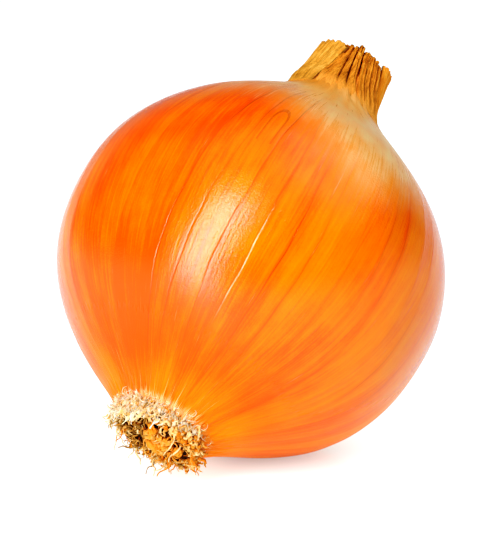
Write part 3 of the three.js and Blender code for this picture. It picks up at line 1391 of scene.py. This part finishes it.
    def place_clump(self) -> Placing:
        """Places one clump of matted root.

        Returns:
            Its place, direction, size and tone.
        """
        bearing = FACING + self.rng.uniform(-0.5, 1.3)
        out = self.rng.uniform(1.5, 7.0)
        at = Vector((out * math.cos(bearing), out * math.sin(bearing), -2.3 - 0.6 * self.rng.random()))
        aim = Vector(self.rng.normal(0, 1, 3)).normalized()
        return at, aim, self.rng.uniform(1.2, 2.3), Tone.ORANGE.value - 0.14 * self.rng.random()

    def place_rim_curl(self) -> Placing:
        """Places one stout curl at the rim, on the side where the frill is thin.

        Returns:
            Its place, direction, size and tone.
        """
        bearing = math.radians(self.rng.uniform(226, 390))
        radial = Vector((math.cos(bearing), math.sin(bearing), 0.0))
        at = radial * self.rng.uniform(8.6, 10.0) + Vector((0, 0, self.rng.uniform(-1.7, 1.0)))
        aim = (radial * 0.8 - Vector((0, 0, 0.5)) + Vector(self.rng.normal(0, 0.5, 3))).normalized()
        return at, aim, self.rng.uniform(0.6, 1.0), self.rng.uniform(Tone.PALE.value, Tone.ORANGE.value + 0.1)

    def place_flake(self) -> Placing:
        """Places one shred of the pale frill, lying down over the rim of the plate.

        Returns:
            Its place, direction, size and tone.
        """
        bearing = self.rng.normal(math.radians(170), math.radians(46))
        low = -1.3 - 3.2 * max(math.cos(bearing - math.radians(168)), 0.0)
        up = self.rng.triangular(low, 0.4 * low, 1.8)
        climb = max(up, 0.0)
        radial = Vector((math.cos(bearing), math.sin(bearing), 0.0))
        # The skin flares from the rim of the plate, so a shred that lies higher also lies farther out.
        out = 10.35 + 0.76 * climb - 0.16 * max(-up - 2.0, 0.0)
        at = radial * out + Vector((0, 0, 1.9 + (0.66 * up if up > 0 else up)))
        aim = Vector((0, 0, -1)) - radial * (0.9 if up > 0.8 else 0.1) + Vector(self.rng.normal(0, 0.3, 3))
        tone = Tone.BLEACHED if self.rng.random() < 0.6 else Tone.PALE
        return at, aim.normalized(), self.rng.uniform(0.45, 1.0), tone.value + abs(self.rng.normal(0, 0.12))

    def matting_in_painted_shade(self) -> bpy.types.Object:
        """Models the matted cushion that the roots grow out of, coloured darkest brown as painted shade
        between the roots.

        Returns:
            The cushion, leaned over and set down.
        """
        deselect()
        bpy.ops.mesh.primitive_uv_sphere_add(segments=120, ring_count=60, radius=MM)
        piece = bpy.context.active_object
        piece.name = "root_matting_painted_shade"
        points = read_points(piece)
        bearing = np.arctan2(points[:, 1], points[:, 0])
        x, y, z = points.T
        rough = (
            0.35 * np.sin(5 * bearing + 6 * z) * np.sin(7 * x + 2)
            + 0.3 * np.sin(13 * x + 3 * y) * np.sin(11 * y + 1)
            + 0.2 * np.sin(23 * x - 9 * z) * np.sin(27 * y + 4)
        )
        spread = self.plate_radius - 0.1
        deep = 0.2 + z * np.where(z > 0, 0.7, self.matting_depth)
        shaped = np.stack([x * spread, y * spread, deep], axis=1)
        shaped += rough[:, None] * np.stack([0.5 * x, 0.5 * y, np.minimum(z, 0.0) * 1.2], axis=1)
        settled = lean_over(shaped)
        settled[:, 2] = np.maximum(settled[:, 2], 0.15)
        write_points(piece, settled)
        # Painted shade: the cushion is darkest deep under the roots and lighter towards the rim of the plate.
        tag(piece, "tone", 1.0 - 0.2 * rough - 0.45 * smooth(-0.6, 0.3, z))
        return piece

    def build(self) -> list[bpy.types.Object]:
        """Makes and dresses the tuft.

        Returns:
            The finished pieces.
        """
        material = DriedRoot().material()
        matting_in_painted_shade = self.matting_in_painted_shade()
        finish_piece(matting_in_painted_shade, material, "dried_roots", "root_tuft")
        thick = self.root_thickness
        curls = [
            self.strand(
                self.rng.uniform(3.0, 6.0), thick * self.rng.uniform(0.6, 1.4), self.rng.uniform(0.4, 0.9), 14
            )
            for _ in range(16)
        ]
        wisps = [self.strand(self.rng.uniform(3.0, 6.5), thick * 0.8, 0.3) for _ in range(8)]
        stout = [self.strand(self.rng.uniform(2.6, 4.4), thick * 2.2, 0.9, 12) for _ in range(8)]
        fluff = [self.strand(self.rng.uniform(1.8, 3.8), thick * 0.36, 0.6, 7) for _ in range(10)]
        pieces = [
            self.scatter("root_curls", curls, self.curls, self.place_curl),
            self.scatter("root_rim_curls", stout, self.rim_curls, self.place_rim_curl),
            self.scatter("root_wisps", wisps, self.wisps, self.place_wisp),
            self.scatter("root_clumps", [self.crumb() for _ in range(5)], self.clumps, self.place_clump),
            self.scatter("root_frill", [self.flake() for _ in range(12)], self.flakes, self.place_flake),
            self.scatter("root_fluff", fluff, self.fluff, self.place_flake),
        ]
        cotton = FrayedSkin().material()
        for piece in pieces[:-2]:
            finish_piece(piece, material, "dried_roots")
        for piece in pieces[-2:]:
            finish_piece(piece, cotton, "dried_roots")
        return [matting_in_painted_shade, *pieces]


# ---------------------------------------------------------------- studio


@dataclass
class Studio:
    """The white floor, the soft lights and the camera."""

    azimuth: float = -52.4
    elevation: float = 12.0
    distance: float = 0.75
    view_height_mm: float = 111.6667  # what the camera takes in at the onion's distance
    sensor_mm: float = 36.0
    aim_mm: tuple[float, float, float] = (-1.78, 0.58, 39.26)

    def view_axes(self) -> tuple[Vector, Vector, Vector]:
        """Gives the camera's own directions.

        Returns:
            Forwards, right and up.
        """
        a, e = math.radians(self.azimuth), math.radians(self.elevation)
        forward = Vector((-math.sin(a) * math.cos(e), math.cos(a) * math.cos(e), -math.sin(e)))
        right = forward.cross(Vector((0, 0, 1))).normalized()
        return forward, right, right.cross(forward)

    def camera(self) -> None:
        """Sets up the camera."""
        forward, _, _ = self.view_axes()
        data = bpy.data.cameras.new("camera")
        made = bpy.data.objects.new("camera", data)
        bpy.context.scene.collection.objects.link(made)
        made.location = Vector(self.aim_mm) * MM - forward * self.distance
        made.rotation_euler = forward.to_track_quat("-Z", "Y").to_euler()
        data.sensor_width = self.sensor_mm
        data.lens = self.sensor_mm * self.distance / (self.view_height_mm * MM)
        data.clip_start, data.clip_end = 0.01, 20.0
        bpy.context.scene.camera = made

    def floor(self) -> None:
        """Lays the floor."""
        deselect()
        bpy.ops.mesh.primitive_plane_add(size=8.0, location=(0, 0, 0))
        floor = bpy.context.active_object
        floor.name = "floor"
        floor.data.materials.append(StudioFloor().material())

    def softbox(
        self,
        name: str,
        toward: Vector,
        distance: float,
        size: tuple[float, float],
        power: float,
        roll: float = 0.0,
    ) -> None:
        """Hangs one softbox, aimed at the onion.

        Args:
            name: its name.
            toward: the direction to it from the onion.
            distance: how far away it hangs, in metres.
            size: its width and height in metres.
            power: its power in watts.
            roll: how far it is turned about its own axis, in degrees.
        """
        data = bpy.data.lights.new(name, "AREA")
        data.shape = "RECTANGLE"
        data.size, data.size_y = size
        data.energy = power
        made = bpy.data.objects.new(name, data)
        bpy.context.scene.collection.objects.link(made)
        aim = Vector(self.aim_mm) * MM
        toward = toward.normalized()
        made.location = aim + toward * distance
        facing = (-toward).to_track_quat("-Z", "Y").to_matrix()
        made.rotation_euler = (facing @ Matrix.Rotation(math.radians(roll), 3, "Z")).to_euler()

    def lights(self) -> None:
        """Hangs the softboxes and fills the room with soft light."""
        forward, right, up = self.view_axes()
        near = -forward
        self.softbox("key", near * 0.87 - right * 0.43 + up * 0.255, 0.6, (0.19, 0.74), 4.6, roll=-22.0)
        self.softbox("overhead", Vector((-0.15, -0.2, 1.0)), 1.1, (1.3, 1.3), 2.35)
        self.softbox("fill", near * 0.25 + right * 0.72 + up * 0.9, 1.1, (1.0, 1.0), 3.7)
        self.softbox("backdrop", -near + up * 0.35, 1.7, (3.2, 1.0), 3.1)
        world = bpy.data.worlds.new("studio")
        bpy.context.scene.world = world
        world.use_nodes = True
        room = world.node_tree.nodes["Background"]
        room.inputs["Color"].default_value = (1.0, 1.0, 1.0, 1.0)
        room.inputs["Strength"].default_value = 0.13

    def build(self) -> None:
        """Sets up the whole studio."""
        self.camera()
        self.floor()
        self.lights()
        view = bpy.context.scene.view_settings
        view.view_transform = "Standard"
        view.look = "None"
        view.use_curve_mapping = True
        view.curve_mapping.black_level = (0.012, 0.012, 0.012)
        view.curve_mapping.white_level = (0.96, 0.96, 0.96)
        tones = view.curve_mapping.curves[3]
        for shown, wanted in ((0.08, 0.022), (0.2, 0.13), (0.45, 0.4)):
            tones.points.new(shown, wanted)
        view.curve_mapping.update()


def main() -> None:
    """Builds the onion and the studio round it."""
    logging.basicConfig(level=logging.INFO, format="%(name)s: %(message)s")
    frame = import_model()
    LOG.info("%d solids in the frame", len(frame["nodes"]))
    Studio().build()
    pieces = [BulbSkin().build(), *Neck().build(), *RootTuft().build()]
    LOG.info("%d pieces", len(pieces))


if __name__ == "__main__":
    main()
